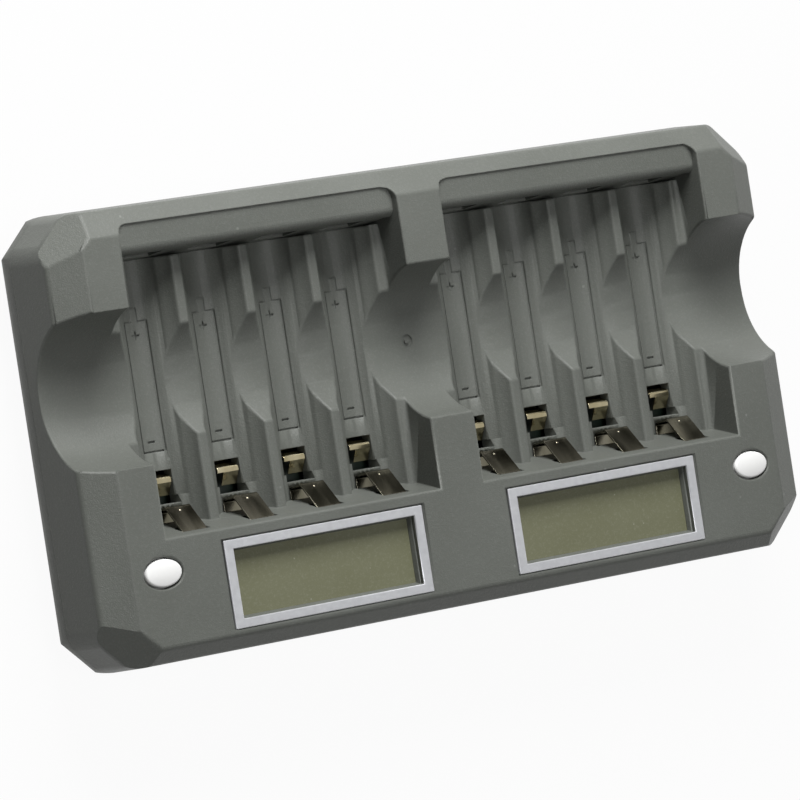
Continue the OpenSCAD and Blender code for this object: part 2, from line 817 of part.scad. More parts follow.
// Sprung negative contact for an AAA cell: a humped tongue in the groove's floor
module aaa_contact(x) {
    color(nickel) translate([x, 0, 0]) {
        strip([aaa_root, aaa_turn, aaa_crest, aaa_knee], aaa_bend_r, aaa_contact_w);
        translate([(aaa_contact_w - aaa_leg_w) / 2, 0, 0])
            strip([aaa_leg_top, aaa_knee, aaa_leg_end], plus_bend_r, aaa_leg_w);
        translate([0, aaa_root.x, aaa_root.y]) rotate([0, 90, 0])
            cylinder(r = bead_r, h = aaa_contact_w, center = true);
    }
}

// Fixed positive contact: a plate in its window with a tail down to the board
module positive_contact(x) {
    path = [[plus_y, plus_top], [plus_y, plus_low], [plus_tail_y, plus_low], [plus_tail_y, board_z]];
    color(nickel) translate([x, 0, 0]) strip(path, plus_bend_r, plus_contact_w);
}

top_cover();
bottom_cover();
display_frame(-1);  // display_frame_left
display_frame(1);  // display_frame_right
lcd_panel(-1);  // lcd_panel_left
lcd_panel(1);  // lcd_panel_right
lcd_connectors();
button(-1);  // button_left
button(1);  // button_right
tact_switch(-1);  // tact_switch_left
tact_switch(1);  // tact_switch_right
display_board();
main_board();
dc_jack();
filter_capacitors();
power_coils();
cover_screws();
board_screws();
rubber_feet();
for (i = [1 : 8]) {
    aa_contact(cell_x[i - 1]);
    aaa_contact(cell_x[i - 1]);
    positive_contact(cell_x[i - 1]);
}
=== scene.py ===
"""Looks of an eight-cell charger for AA and AAA cells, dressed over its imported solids.

The charger lies on its back with the cell bays up. +X runs along its length, +Y to the rear, where the
positive ends of the cells go, and +Z up through the face. All lengths are metres in the part's own frame.
"""

import json
import logging
import math
from collections.abc import Callable, Iterable
from dataclasses import dataclass, field
from enum import Enum

import bmesh
import bpy
from mathutils import Matrix, Vector

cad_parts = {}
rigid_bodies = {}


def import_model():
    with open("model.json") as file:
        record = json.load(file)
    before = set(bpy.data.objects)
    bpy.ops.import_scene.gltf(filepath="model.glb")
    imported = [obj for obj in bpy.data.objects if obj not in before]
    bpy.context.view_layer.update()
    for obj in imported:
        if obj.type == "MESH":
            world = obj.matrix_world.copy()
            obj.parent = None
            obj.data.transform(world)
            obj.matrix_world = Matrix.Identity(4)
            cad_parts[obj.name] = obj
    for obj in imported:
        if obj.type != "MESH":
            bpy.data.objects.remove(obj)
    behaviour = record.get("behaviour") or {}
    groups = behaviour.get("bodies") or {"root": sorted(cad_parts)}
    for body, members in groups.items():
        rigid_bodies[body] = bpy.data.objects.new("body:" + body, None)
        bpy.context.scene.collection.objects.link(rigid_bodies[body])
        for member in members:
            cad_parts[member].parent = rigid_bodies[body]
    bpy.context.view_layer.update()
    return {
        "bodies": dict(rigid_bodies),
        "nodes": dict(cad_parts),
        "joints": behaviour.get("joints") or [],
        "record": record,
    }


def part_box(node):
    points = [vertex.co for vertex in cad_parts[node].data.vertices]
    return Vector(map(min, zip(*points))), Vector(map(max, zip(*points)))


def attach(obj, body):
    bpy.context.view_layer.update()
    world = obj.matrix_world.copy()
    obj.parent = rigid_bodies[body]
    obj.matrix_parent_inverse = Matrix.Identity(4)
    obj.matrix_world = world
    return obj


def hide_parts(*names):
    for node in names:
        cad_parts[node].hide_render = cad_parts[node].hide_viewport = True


MM = 0.001
HOUSING = "housing"
ANY_WAY = -1.1
CREASE = 38.0
log = logging.getLogger("charger")

Triple = tuple[float, float, float]
Colour = Triple
Frame = dict[str, object]


class Side(Enum):
    """The two ends of the case."""

    LEFT = "left"
    RIGHT = "right"


class ContactKind(Enum):
    """The three kinds of contact at each cell's place."""

    AA = "aa_contact"
    AAA = "aaa_contact"
    POSITIVE = "positive_contact"


class Graph:
    """Adds shader nodes to a tree and links them.

    Attributes:
        mix_ends: places of a Mix node's two colours among its inputs.
        mix_result: place of the mixed colour among its outputs.
    """

    mix_ends: tuple[int, int] = (6, 7)
    mix_result: int = 2

    def __init__(self, tree: bpy.types.NodeTree) -> None:
        """Take the tree that the nodes go into."""
        self.tree = tree

    def add(self, kind: str, inputs: dict[str, object] | None = None, **settings: object) -> bpy.types.Node:
        """Add a node and set its properties and sockets.

        Args:
            kind: Blender's type name of the node.
            inputs: values or output sockets by the name of the input socket.
            **settings: properties of the node.

        Returns:
            The new node.
        """
        node = self.tree.nodes.new(kind)
        for name, value in settings.items():
            setattr(node, name, value)
        for name, value in (inputs or {}).items():
            self.feed(node.inputs[name], value)
        return node

    def feed(self, socket: bpy.types.NodeSocket, value: object) -> None:
        """Link an output socket to an input, or set the input's own value.

        Args:
            socket: the input socket.
            value: an output socket, or a plain value.
        """
        if isinstance(value, bpy.types.NodeSocket):
            self.tree.links.new(value, socket)
        else:
            socket.default_value = value

    def math(self, operation: str, a: object, b: object = 0.0) -> bpy.types.NodeSocket:
        """Add a Math node on one or two values.

        Args:
            operation: what the node does.
            a: its first value or socket.
            b: its second value or socket.

        Returns:
            The node's output.
        """
        node = self.add("ShaderNodeMath", operation=operation)
        self.feed(node.inputs[0], a)
        self.feed(node.inputs[1], b)
        return node.outputs[0]

    def span(
        self, value: object, low: tuple[float, float], high: tuple[float, float]) -> bpy.types.NodeSocket:
        """Map a value from one range to another.

        Args:
            value: the socket to map.
            low: the start of the range read and of the range given out.
            high: the end of the range read and of the range given out.

        Returns:
            The mapped socket.
        """
        node = self.add("ShaderNodeMapRange", {"From Min": low[0], "From Max": high[0]})
        self.feed(node.inputs["Value"], value)
        self.feed(node.inputs["To Min"], low[1])
        self.feed(node.inputs["To Max"], high[1])
        return node.outputs[0]

    def tint(self, share: object, a: object, b: object) -> bpy.types.NodeSocket:
        """Mix two colours.

        Args:
            share: how much of the second colour shows, from 0 to 1.
            a: the first colour or socket.
            b: the second colour or socket.

        Returns:
            The mixed colour.
        """
        node = self.add("ShaderNodeMix", data_type="RGBA")
        self.feed(node.inputs[0], share)
        for place, value in zip(self.mix_ends, (a, b)):
            self.feed(node.inputs[place], value if isinstance(value, bpy.types.NodeSocket) else (*value, 1.0))
        return node.outputs[self.mix_result]


class SurfaceGroups:
    """Shader node groups that several finishes share.

    Attributes:
        broad_scale: scale of the broader grain as a share of the fine one.
        broad_share: its height as a share of the fine grain's.
        tone_ends: noise levels between which the tone goes from dark to pale.
        pale_edge_turn: cosines of the turn of the surface where the paler edge, partly wear and partly
            painted highlight, starts and is full.
        patch_scale: scale of the patches in which an edge is painted paler.
        speck_edge: distances from a speck's middle at which it starts and is full.
        edge_samples: samples that find an edge.
        details: layers of noise in the fine grain, the broad grain and the slow tone.
    """

    broad_scale: float = 0.37
    broad_share: float = 0.6
    tone_ends: tuple[float, float] = (0.3, 0.7)
    pale_edge_turn: tuple[float, float] = (0.995, 0.86)
    patch_scale: float = 260.0
    speck_edge: tuple[float, float] = (0.16, 0.08)
    edge_samples: int = 4
    details: Triple = (2.0, 1.0, 3.0)

    def __init__(self) -> None:
        """Build each group once."""
        self.grain = self._grain()
        self.edge = self._edge()
        self.dust = self._dust()

    @staticmethod
    def _start(
        name: str, inputs: Iterable[tuple[str, str]],
        outputs: Iterable[str]) -> tuple[Graph, dict[str, bpy.types.NodeSocket], bpy.types.Node]:
        """Make an empty group with its sockets.

        Args:
            name: the group's name.
            inputs: name and socket type of each input.
            outputs: names of the outputs, which are all single values.

        Returns:
            The group's graph, its inputs by name and its output node.
        """
        tree = bpy.data.node_groups.new(name, "ShaderNodeTree")
        for label, kind in inputs:
            tree.interface.new_socket(name=label, in_out="INPUT", socket_type=kind)
        for label in outputs:
            tree.interface.new_socket(name=label, in_out="OUTPUT", socket_type="NodeSocketFloat")
        graph = Graph(tree)
        source = graph.add("NodeGroupInput")
        return graph, {s.name: s for s in source.outputs}, graph.add("NodeGroupOutput")

    def _grain(self) -> bpy.types.NodeTree:
        """Build the spark-eroded grain of a mould: a fine height and a slow change of tone.

        Returns:
            The group.
        """
        wants = (
            ("Vector", "NodeSocketVector"), ("Scale", "NodeSocketFloat"), ("Mottle", "NodeSocketFloat"))
        graph, given, out = self._start("mould_grain", wants, ("Height", "Tone"))
        wider = graph.math("MULTIPLY", given["Scale"], self.broad_scale)
        fine, broad, slow = (
            graph.add("ShaderNodeTexNoise", {"Vector": given["Vector"], "Scale": scale, "Detail": detail})
            for scale, detail in zip((given["Scale"], wider, given["Mottle"]), self.details))
        lower = graph.math("MULTIPLY", broad.outputs[0], self.broad_share)
        graph.feed(out.inputs["Height"], graph.math("ADD", lower, fine.outputs[0]))
        dark, pale = self.tone_ends
        graph.feed(out.inputs["Tone"], graph.span(slow.outputs[0], (dark, 0.0), (pale, 1.0)))
        return graph.tree

    def _edge(self) -> bpy.types.NodeTree:
        """Build the mask of the outer edges that are painted paler: partly wear, partly painted highlight
        where an edge catches the light.

        Returns:
            The group.
        """
        wants = (("Vector", "NodeSocketVector"), ("Radius", "NodeSocketFloat"))
        graph, given, out = self._start("edge_wear_and_highlight", wants, ("Mask",))
        soft = graph.add("ShaderNodeBevel", {"Radius": given["Radius"]}, samples=self.edge_samples)
        true = graph.add("ShaderNodeNewGeometry")
        dot = graph.add("ShaderNodeVectorMath", operation="DOT_PRODUCT")
        graph.feed(dot.inputs[0], soft.outputs[0])
        graph.feed(dot.inputs[1], true.outputs["Normal"])
        start, full = self.pale_edge_turn
        turn = graph.span(dot.outputs["Value"], (start, 0.0), (full, 1.0))
        noise = {"Vector": given["Vector"], "Scale": self.patch_scale, "Detail": self.details[0]}
        patchy = graph.add("ShaderNodeTexNoise", noise)
        graph.feed(out.inputs["Mask"], graph.math("MULTIPLY", turn, patchy.outputs[0]))
        return graph.tree

    def _dust(self) -> bpy.types.NodeTree:
        """Build the mask of scattered pale specks.

        Returns:
            The group.
        """
        wants = (
            ("Vector", "NodeSocketVector"), ("Scale", "NodeSocketFloat"), ("Amount", "NodeSocketFloat"))
        graph, given, out = self._start("fine_dust", wants, ("Mask",))
        cells = graph.add("ShaderNodeTexVoronoi", {"Vector": given["Vector"], "Scale": given["Scale"]})
        start, full = self.speck_edge
        speck = graph.span(cells.outputs["Distance"], (start, 0.0), (full, 1.0))
        pick = graph.add("ShaderNodeSeparateColor", {"Color": cells.outputs["Color"]})
        few = graph.math("LESS_THAN", pick.outputs[0], given["Amount"])
        graph.feed(out.inputs["Mask"], graph.math("MULTIPLY", speck, few))
        return graph.tree


@dataclass(frozen=True)
class Finish:
    """A procedural finish: grain, paler edges and specks over one Principled surface. The paler edges are
    partly wear and partly painted highlight.

    Attributes:
        name: the material's name.
        colour: the main colour.
        pale: the colour of the paler edges (wear and painted highlight), flecks and specks.
        roughness: lowest and highest roughness.
        metallic: 1 for bare metal.
        specular: strength of the reflections of a plain surface.
        grain_scale: fineness of the grain.
        grain_depth: height of the grain.
        grain_strength: how strongly the grain tilts the surface.
        mottle: scale of the slow change of tone.
        mottle_share: how much of the pale colour it brings.
        fleck_share: how much of the pale colour the highest grains take.
        fleck_ends: heights of the grain at which that starts and is full.
        edge_radius: reach of the softened edges, or 0 for none.
        edge_share: how much of the pale colour an edge takes, as wear and painted highlight.
        dust_scale: scale of the specks.
        dust_amount: share of places that have a speck, or 0 for none.
        speck_share: how much of the pale colour a speck takes.
        stretch: scale of the grain along each axis.
    """

    name: str
    colour: Colour
    pale: Colour
    roughness: tuple[float, float] = (0.45, 0.6)
    metallic: float = 0.0
    specular: float = 0.5
    grain_scale: float = 3600.0
    grain_depth: float = 0.02 * MM
    grain_strength: float = 0.5
    mottle: float = 45.0
    mottle_share: float = 0.12
    fleck_share: float = 0.0
    fleck_ends: tuple[float, float] = (0.8, 1.1)
    edge_radius: float = 0.0
    edge_share: float = 0.0
    dust_scale: float = 0.0
    dust_amount: float = 0.0
    speck_share: float = 0.5
    stretch: Triple = (1.0, 1.0, 1.0)

    def make(self, groups: SurfaceGroups) -> bpy.types.Material:
        """Build the material.

        Args:
            groups: the shared shader node groups.

        Returns:
            The finished material.
        """
        material = bpy.data.materials.new(self.name)
        material.use_nodes = True
        graph = Graph(material.node_tree)
        surface = material.node_tree.nodes["Principled BSDF"]
        place = graph.add("ShaderNodeTexCoord").outputs["Object"]
        turned = graph.add("ShaderNodeMapping", {"Vector": place, "Scale": self.stretch}).outputs[0]
        grain = graph.add("ShaderNodeGroup", node_tree=groups.grain)
        graph.feed(grain.inputs["Vector"], turned)
        graph.feed(grain.inputs["Scale"], self.grain_scale)
        graph.feed(grain.inputs["Mottle"], self.mottle)
        share = graph.math("MULTIPLY", grain.outputs["Tone"], self.mottle_share)
        colour = graph.tint(share, self.colour, self.pale)
        bump = graph.add("ShaderNodeBump", {"Strength": self.grain_strength, "Distance": self.grain_depth})
        graph.feed(bump.inputs["Height"], grain.outputs["Height"])
        if self.fleck_share:
            start, full = self.fleck_ends
            fleck = graph.span(grain.outputs["Height"], (start, 0.0), (full, self.fleck_share))
            colour = graph.tint(fleck, colour, self.pale)
        # Edges are painted paler: partly wear, partly painted highlight.
        if self.edge_radius:
            colour = self._wear_and_highlight_edges(graph, groups, place, colour, bump)
        if self.dust_amount:
            colour = self._speckle(graph, groups, place, colour)
        graph.feed(surface.inputs["Base Color"], colour)
        low, high = self.roughness
        graph.feed(surface.inputs["Roughness"], graph.span(grain.outputs["Tone"], (0.0, low), (1.0, high)))
        graph.feed(surface.inputs["Normal"], bump.outputs[0])
        surface.inputs["Metallic"].default_value = self.metallic
        surface.inputs["Specular IOR Level"].default_value = self.specular
        return material

    def _wear_and_highlight_edges(
        self, graph: Graph, groups: SurfaceGroups, place: bpy.types.NodeSocket, colour: bpy.types.NodeSocket,
        bump: bpy.types.Node) -> bpy.types.NodeSocket:
        """Soften the edges' normals and paint the edges paler, as wear and painted highlight.

        Args:
            graph: the material's graph.
            groups: the shared shader node groups.
            place: socket of the coordinates.
            colour: socket of the colour so far.
            bump: the bump node, which takes the softened normal.

        Returns:
            The socket of the new colour.
        """
        edge = graph.add("ShaderNodeGroup", node_tree=groups.edge)
        graph.feed(edge.inputs["Vector"], place)
        graph.feed(edge.inputs["Radius"], self.edge_radius)
        soft = graph.add("ShaderNodeBevel", {"Radius": self.edge_radius}, samples=groups.edge_samples)
        graph.feed(bump.inputs["Normal"], soft.outputs[0])
        return graph.tint(graph.math("MULTIPLY", edge.outputs["Mask"], self.edge_share), colour, self.pale)

    def _speckle(
        self, graph: Graph, groups: SurfaceGroups, place: bpy.types.NodeSocket,
        colour: bpy.types.NodeSocket) -> bpy.types.NodeSocket:
        """Scatter pale specks over the colour.

        Args:
            graph: the material's graph.
            groups: the shared shader node groups.
            place: socket of the coordinates.
            colour: socket of the colour so far.

        Returns:
            The socket of the new colour.
        """
        dust = graph.add("ShaderNodeGroup", node_tree=groups.dust)
        graph.feed(dust.inputs["Vector"], place)
        graph.feed(dust.inputs["Scale"], self.dust_scale)
        graph.feed(dust.inputs["Amount"], self.dust_amount)
        return graph.tint(graph.math("MULTIPLY", dust.outputs["Mask"], self.speck_share), colour, self.pale)


# edge_share paints the edges paler in every finish: partly wear, partly painted highlight.
FINISHES: dict[str, Finish] = {finish.name: finish for finish in (
    Finish(
        "case_plastic", (0.091, 0.096, 0.086), (0.2, 0.21, 0.195), roughness=(0.36, 0.46), specular=0.2,
        grain_scale=4400.0, grain_depth=0.08 * MM, grain_strength=0.8, fleck_share=0.2,
        edge_radius=0.28 * MM, edge_share=0.22, dust_scale=420.0, dust_amount=0.02),
    Finish(
        "base_plastic", (0.086, 0.09, 0.081), (0.19, 0.2, 0.185), roughness=(0.4, 0.5), specular=0.18,
        grain_scale=4400.0, grain_depth=0.08 * MM, grain_strength=0.8, fleck_share=0.2,
        edge_radius=0.28 * MM, edge_share=0.3, dust_scale=420.0, dust_amount=0.02),
    Finish(
        "frame_silver", (0.35, 0.355, 0.37), (0.48, 0.49, 0.5), roughness=(0.36, 0.46), metallic=0.2,
        grain_scale=5200.0, grain_depth=0.012 * MM, mottle=900.0, mottle_share=0.3, edge_radius=0.15 * MM,
        edge_share=0.4),
    Finish(
        "lcd_face", (0.118, 0.12, 0.072), (0.3, 0.31, 0.26), roughness=(0.3, 0.38), specular=0.2,
        grain_scale=3000.0, grain_depth=0.004 * MM, mottle=70.0, mottle_share=0.06, fleck_share=0.14,
        dust_scale=800.0, dust_amount=0.05),
    Finish(
        "button_white", (0.7, 0.7, 0.69), (0.76, 0.76, 0.75), roughness=(0.36, 0.44), grain_scale=4200.0,
        grain_depth=0.008 * MM, edge_radius=0.2 * MM, edge_share=0.2),
    # Nickel with its colour painted near black: a painted dark reflection of the bay round it; its pale edges
    # are painted highlights.
    Finish(
        "contact_nickel", (0.078, 0.073, 0.048), (0.6, 0.56, 0.46), roughness=(0.1, 0.22), metallic=1.0,
        grain_scale=2600.0, grain_depth=0.006 * MM, mottle=240.0, mottle_share=0.25, edge_radius=0.1 * MM,
        edge_share=1.0, stretch=(1.0, 0.18, 0.18)),
    # Nickel strip given a warm gold colour: a painted warm reflection, with painted highlights on its pale
    # edges.
    Finish(
        "nickel_painted_warm_reflection", (0.27, 0.23, 0.13), (0.7, 0.65, 0.5), roughness=(0.1, 0.22), metallic=1.0,
        grain_scale=2600.0, grain_depth=0.006 * MM, mottle=240.0, mottle_share=0.35, edge_radius=0.1 * MM,
        edge_share=0.8, stretch=(1.0, 0.18, 0.18)),
    # A darker copy of the nickel: painted shade for the positive plates that sit deep under the lip.
    Finish(
        "nickel_painted_shade", (0.035, 0.033, 0.028), (0.1, 0.095, 0.08), roughness=(0.4, 0.5), metallic=1.0,
        grain_scale=2600.0, grain_depth=0.01 * MM, mottle=240.0, mottle_share=0.3),
    Finish(
        "screw_steel", (0.5, 0.5, 0.49), (0.68, 0.68, 0.67), roughness=(0.28, 0.42), metallic=1.0,
        grain_scale=3800.0, grain_depth=0.006 * MM, mottle=400.0, mottle_share=0.5),
    Finish(
        "black_plastic", (0.022, 0.022, 0.023), (0.07, 0.07, 0.07), roughness=(0.42, 0.55),
        grain_scale=3400.0, edge_radius=0.15 * MM, edge_share=0.4),
    Finish(
        "foot_rubber", (0.022, 0.022, 0.022), (0.06, 0.06, 0.058), roughness=(0.7, 0.85),
        grain_scale=2200.0, grain_depth=0.04 * MM, dust_scale=700.0, dust_amount=0.08),
    Finish(
        "connector_rubber", (0.55, 0.27, 0.3), (0.7, 0.45, 0.46), roughness=(0.6, 0.75), mottle_share=0.3),
    # The board's own green painted almost black: painted shade, so that what shows through the slots and
    # windows reads as shade.
    Finish(
        "board_green", (0.003, 0.009, 0.005), (0.008, 0.02, 0.011), roughness=(0.3, 0.42),
        grain_scale=2600.0, grain_depth=0.01 * MM, mottle=300.0, mottle_share=0.4),
    Finish(
        "capacitor_can", (0.05, 0.055, 0.1), (0.3, 0.3, 0.36), roughness=(0.3, 0.4), mottle_share=0.2),
    Finish(
        "coil_core", (0.05, 0.05, 0.05), (0.12, 0.12, 0.12), roughness=(0.6, 0.75), grain_scale=1800.0,
        grain_depth=0.05 * MM, mottle_share=0.4),
)}


@dataclass(frozen=True)
class EdgeRule:
    """Which edges of a copied solid are rounded, and how far.

    Attributes:
        radius: distance that the rounding takes from each face.
        least_turn: smallest angle between two faces that counts as an edge, in degrees.
        lowest_facing: edges with a face that looks further down than this stay sharp.
        segments: facets across the rounding.
    """

    radius: float
    least_turn: float = 25.0
    lowest_facing: float = -0.3
    segments: int = 2


class Workshop:
    """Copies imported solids, rounds them and puts the dressed copies in their place.

    Attributes:
        weld: distance within which the corners of a large solid are merged.
        fine_weld: the same for a small solid.
        flat: angle under which two faces count as one.
        wide: width from which a face is shaded flat.
        in_plane: cosine of the angle under which a sliver lies in a wide face's plane.
        rounds: how many slivers away from a wide face that is looked for.
        bent: angle from which a face that isn't flat is split.
    """

    weld: float = 0.06 * MM
    fine_weld: float = 0.002 * MM
    flat: float = math.radians(0.5)
    wide: float = 2.0 * MM
    in_plane: float = math.cos(math.radians(4.0))
    rounds: int = 2
    bent: float = math.radians(1.0)

    def __init__(self, frame: Frame, groups: SurfaceGroups) -> None:
        """Take the loaded frame and make every finish."""
        self.nodes: dict[str, bpy.types.Object] = frame["nodes"]
        self.slots: dict[str, str] = {s["node"]: s["material_slot"] for s in frame["record"]["subparts"]}
        self.materials = {name: finish.make(groups) for name, finish in FINISHES.items()}

    def copy(self, node: str, weld: float | None = None) -> bmesh.types.BMesh:
        """Return a merged copy of a solid, with the triangles of each flat face joined.

        Args:
            node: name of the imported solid.
            weld: distance within which corners are merged.

        Returns:
            The copy, to be shaped further.
        """
        mesh = bmesh.new()
        mesh.from_mesh(self.nodes[node].data)
        near = self.weld if weld is None else weld
        bmesh.ops.remove_doubles(mesh, verts=mesh.verts, dist=near)
        bmesh.ops.dissolve_degenerate(mesh, edges=mesh.edges, dist=near)
        bmesh.ops.dissolve_limit(mesh, angle_limit=self.flat, verts=mesh.verts, edges=mesh.edges)
        bmesh.ops.connect_verts_concave(mesh, faces=mesh.faces)
        mesh.normal_update()
        return mesh

    def round_edges(
        self, mesh: bmesh.types.BMesh, rule: EdgeRule, quiet: Callable[[Vector], bool] | None = None) -> int:
        """Round the outer edges of a copy.

        Args:
            mesh: the copy.
            rule: which edges, and how far.
            quiet: tells for a corner whether its edges stay as they are.

        Returns:
            The number of edges rounded.
        """
        turn = math.radians(rule.least_turn)
        chosen = [
            edge
            for edge in mesh.edges
            if len(edge.link_faces) == 2
            and edge.is_convex
            and edge.calc_face_angle(0.0) > turn
            and min(face.calc_area() for face in edge.link_faces) > rule.radius * edge.calc_length()
            and min(face.normal.z for face in edge.link_faces) > rule.lowest_facing
            and not (quiet and any(quiet(corner.co) for corner in edge.verts))
        ]
        bmesh.ops.bevel(
            mesh, geom=chosen, offset=rule.radius, offset_type="OFFSET", segments=rule.segments,
            profile=0.5, affect="EDGES", clamp_overlap=False, material=-1, loop_slide=True)
        bmesh.ops.connect_verts_nonplanar(mesh, angle_limit=self.bent, faces=mesh.faces)
        bmesh.ops.connect_verts_concave(mesh, faces=mesh.faces)
        mesh.normal_update()
        return len(chosen)

    def place(
        self, mesh: bmesh.types.BMesh, name: str, body: str, node: str, crease: float = CREASE,
        finish: str | None = None) -> bpy.types.Object:
        """Put a shaped copy in the place of its solid.

        Args:
            mesh: the shaped copy, which is freed.
            name: the piece's name.
            body: the body that it rides on.
            node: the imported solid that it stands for.
            crease: angle in degrees from which an edge shades as sharp.
            finish: name of the finish, if it isn't the one named for the solid.

        Returns:
            The new piece.
        """
        data = bpy.data.meshes.new(name)
        mesh.to_mesh(data)
        mesh.free()
        piece = bpy.data.objects.new(name, data)
        bpy.context.scene.collection.objects.link(piece)
        data.materials.append(self.materials[self.slots[node] if finish is None else finish])
        self.shade(piece, crease)
        weighted = piece.modifiers.new("flat_faces", "WEIGHTED_NORMAL")
        weighted.keep_sharp = True
        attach(piece, body)
        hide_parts(node)
        log.info("%s stands for %s with %d faces", name, node, len(data.polygons))
        return piece

    @staticmethod
    def shade(piece: bpy.types.Object, crease: float = CREASE) -> None:
        """Shade a piece smooth, with the edges that turn further than an angle in degrees left sharp."""
        piece.data.shade_smooth()
        piece.data.set_sharp_from_angle(angle=math.radians(crease))

    def level_off(self, piece: bpy.types.Object) -> None:
        """Shade the wide faces of a piece, and the slivers that lie in their plane, as flat.

        Args:
            piece: the piece, whose other faces are shaded smooth.
        """
        mesh = bmesh.new()
        mesh.from_mesh(piece.data)
        flat = {f for f in mesh.faces if f.calc_area() > self.wide * max(e.calc_length() for e in f.edges)}
        for _ in range(self.rounds):
            flat |= {
                near
                for face in flat
                for edge in face.edges
                for near in edge.link_faces
                if near.normal.dot(face.normal) > self.in_plane
            }
        for face in mesh.faces:
            face.smooth = face not in flat
        mesh.to_mesh(piece.data)
        mesh.free()

    @staticmethod
    def cut(
        piece: bpy.types.Object, tool: bmesh.types.BMesh, label: str, operation: str = "DIFFERENCE") -> None:
        """Cut a piece with a tool and keep the result as the piece's own mesh.

        Args:
            piece: the piece that is cut.
            tool: the cutter, which is freed.
            label: name for the cutter while it is in use.
            operation: what the Boolean keeps.
        """
        bmesh.ops.recalc_face_normals(tool, faces=tool.faces)
        data = bpy.data.meshes.new(label)
        tool.to_mesh(data)
        tool.free()
        cutter = bpy.data.objects.new(label, data)
        bpy.context.scene.collection.objects.link(cutter)
        step = piece.modifiers.new(label, "BOOLEAN")
        step.operation = operation
        step.solver = "EXACT"
        step.object = cutter
        piece.modifiers.move(len(piece.modifiers) - 1, 0)
        for modifier in piece.modifiers:
            modifier.show_viewport = modifier.name == label
        bpy.context.view_layer.update()
        view = bpy.context.evaluated_depsgraph_get()
        result = bpy.data.meshes.new_from_object(piece.evaluated_get(view), depsgraph=view)
        piece.modifiers.remove(piece.modifiers[label])
        for modifier in piece.modifiers:
            modifier.show_viewport = True
        old, piece.data = piece.data, result
        result.name = piece.name
        bpy.data.meshes.remove(old)
        bpy.data.objects.remove(cutter)
        bpy.data.meshes.remove(data)
        log.info("%s: cut %s, now %d faces", piece.name, label, len(result.polygons))

    def paint(self, node: str) -> None:
        """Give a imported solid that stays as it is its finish.

        Args:
            node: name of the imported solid.
        """
        solid = self.nodes[node]
        solid.data.materials.clear()
        solid.data.materials.append(self.materials[self.slots[node]])
        log.info("%s keeps its solid", node)


@dataclass(frozen=True)
class SoftPlan:
    """The case's outline seen from above: a rectangle with cut corners whose edges are well rounded.

    Attributes:
        half_l: half the length at the parting line.
        half_w: half the width there.
        cut: how much of each side a cut corner takes.
        radius: rounding between a side and a cut corner.
        part: height of the parting line.
        lean: how far the walls lean in for each unit of height above the parting line.
        clear: distance kept outside the flat walls.
        steps: facets across one rounding.
        upward: height of a normal from which a face counts as the top.
    """

    half_l: float = 87.6 * MM
    half_w: float = 45.3 * MM
    cut: float = 7.0 * MM
    radius: float = 5.8 * MM
    part: float = 9.5 * MM
    lean: float = math.tan(math.radians(3.0))
    clear: float = 0.015 * MM
    steps: int = 7
    upward: float = 0.9

    def tool(self, low: float, high: float) -> bmesh.types.BMesh:
        """Return the solid inside the outline between two heights.

        Args:
            low: height of its bottom, where the walls are upright up to the parting line.
            high: height of its top, towards which the walls lean in.

        Returns:
            The solid, for a Boolean.
        """
        mesh = bmesh.new()
        bmesh.ops.create_cube(mesh, size=1.0)
        sides = (2 * (self.half_l + self.clear), 2 * (self.half_w + self.clear), self.part - low)
        bmesh.ops.scale(mesh, vec=sides, verts=mesh.verts)
        bmesh.ops.translate(mesh, vec=(0.0, 0.0, (self.part + low) / 2), verts=mesh.verts)
        rounding = self.radius * math.tan(math.radians(45.0 / 2))
        for reach, segments in ((self.cut, 1), (rounding, self.steps)):
            upright = [e for e in mesh.edges if abs(e.verts[0].co.z - e.verts[1].co.z) > MM]
            bmesh.ops.bevel(
                mesh, geom=upright, offset=reach, offset_type="OFFSET", segments=segments, profile=0.5,
                affect="EDGES", clamp_overlap=False, material=-1)
        rise = high - self.part
        mesh.normal_update()
        top = [face for face in mesh.faces if face.normal.z > self.upward]
        bmesh.ops.inset_region(
            mesh, faces=top, thickness=rise * self.lean, depth=rise, use_even_offset=True,
            use_boundary=True)
        return mesh


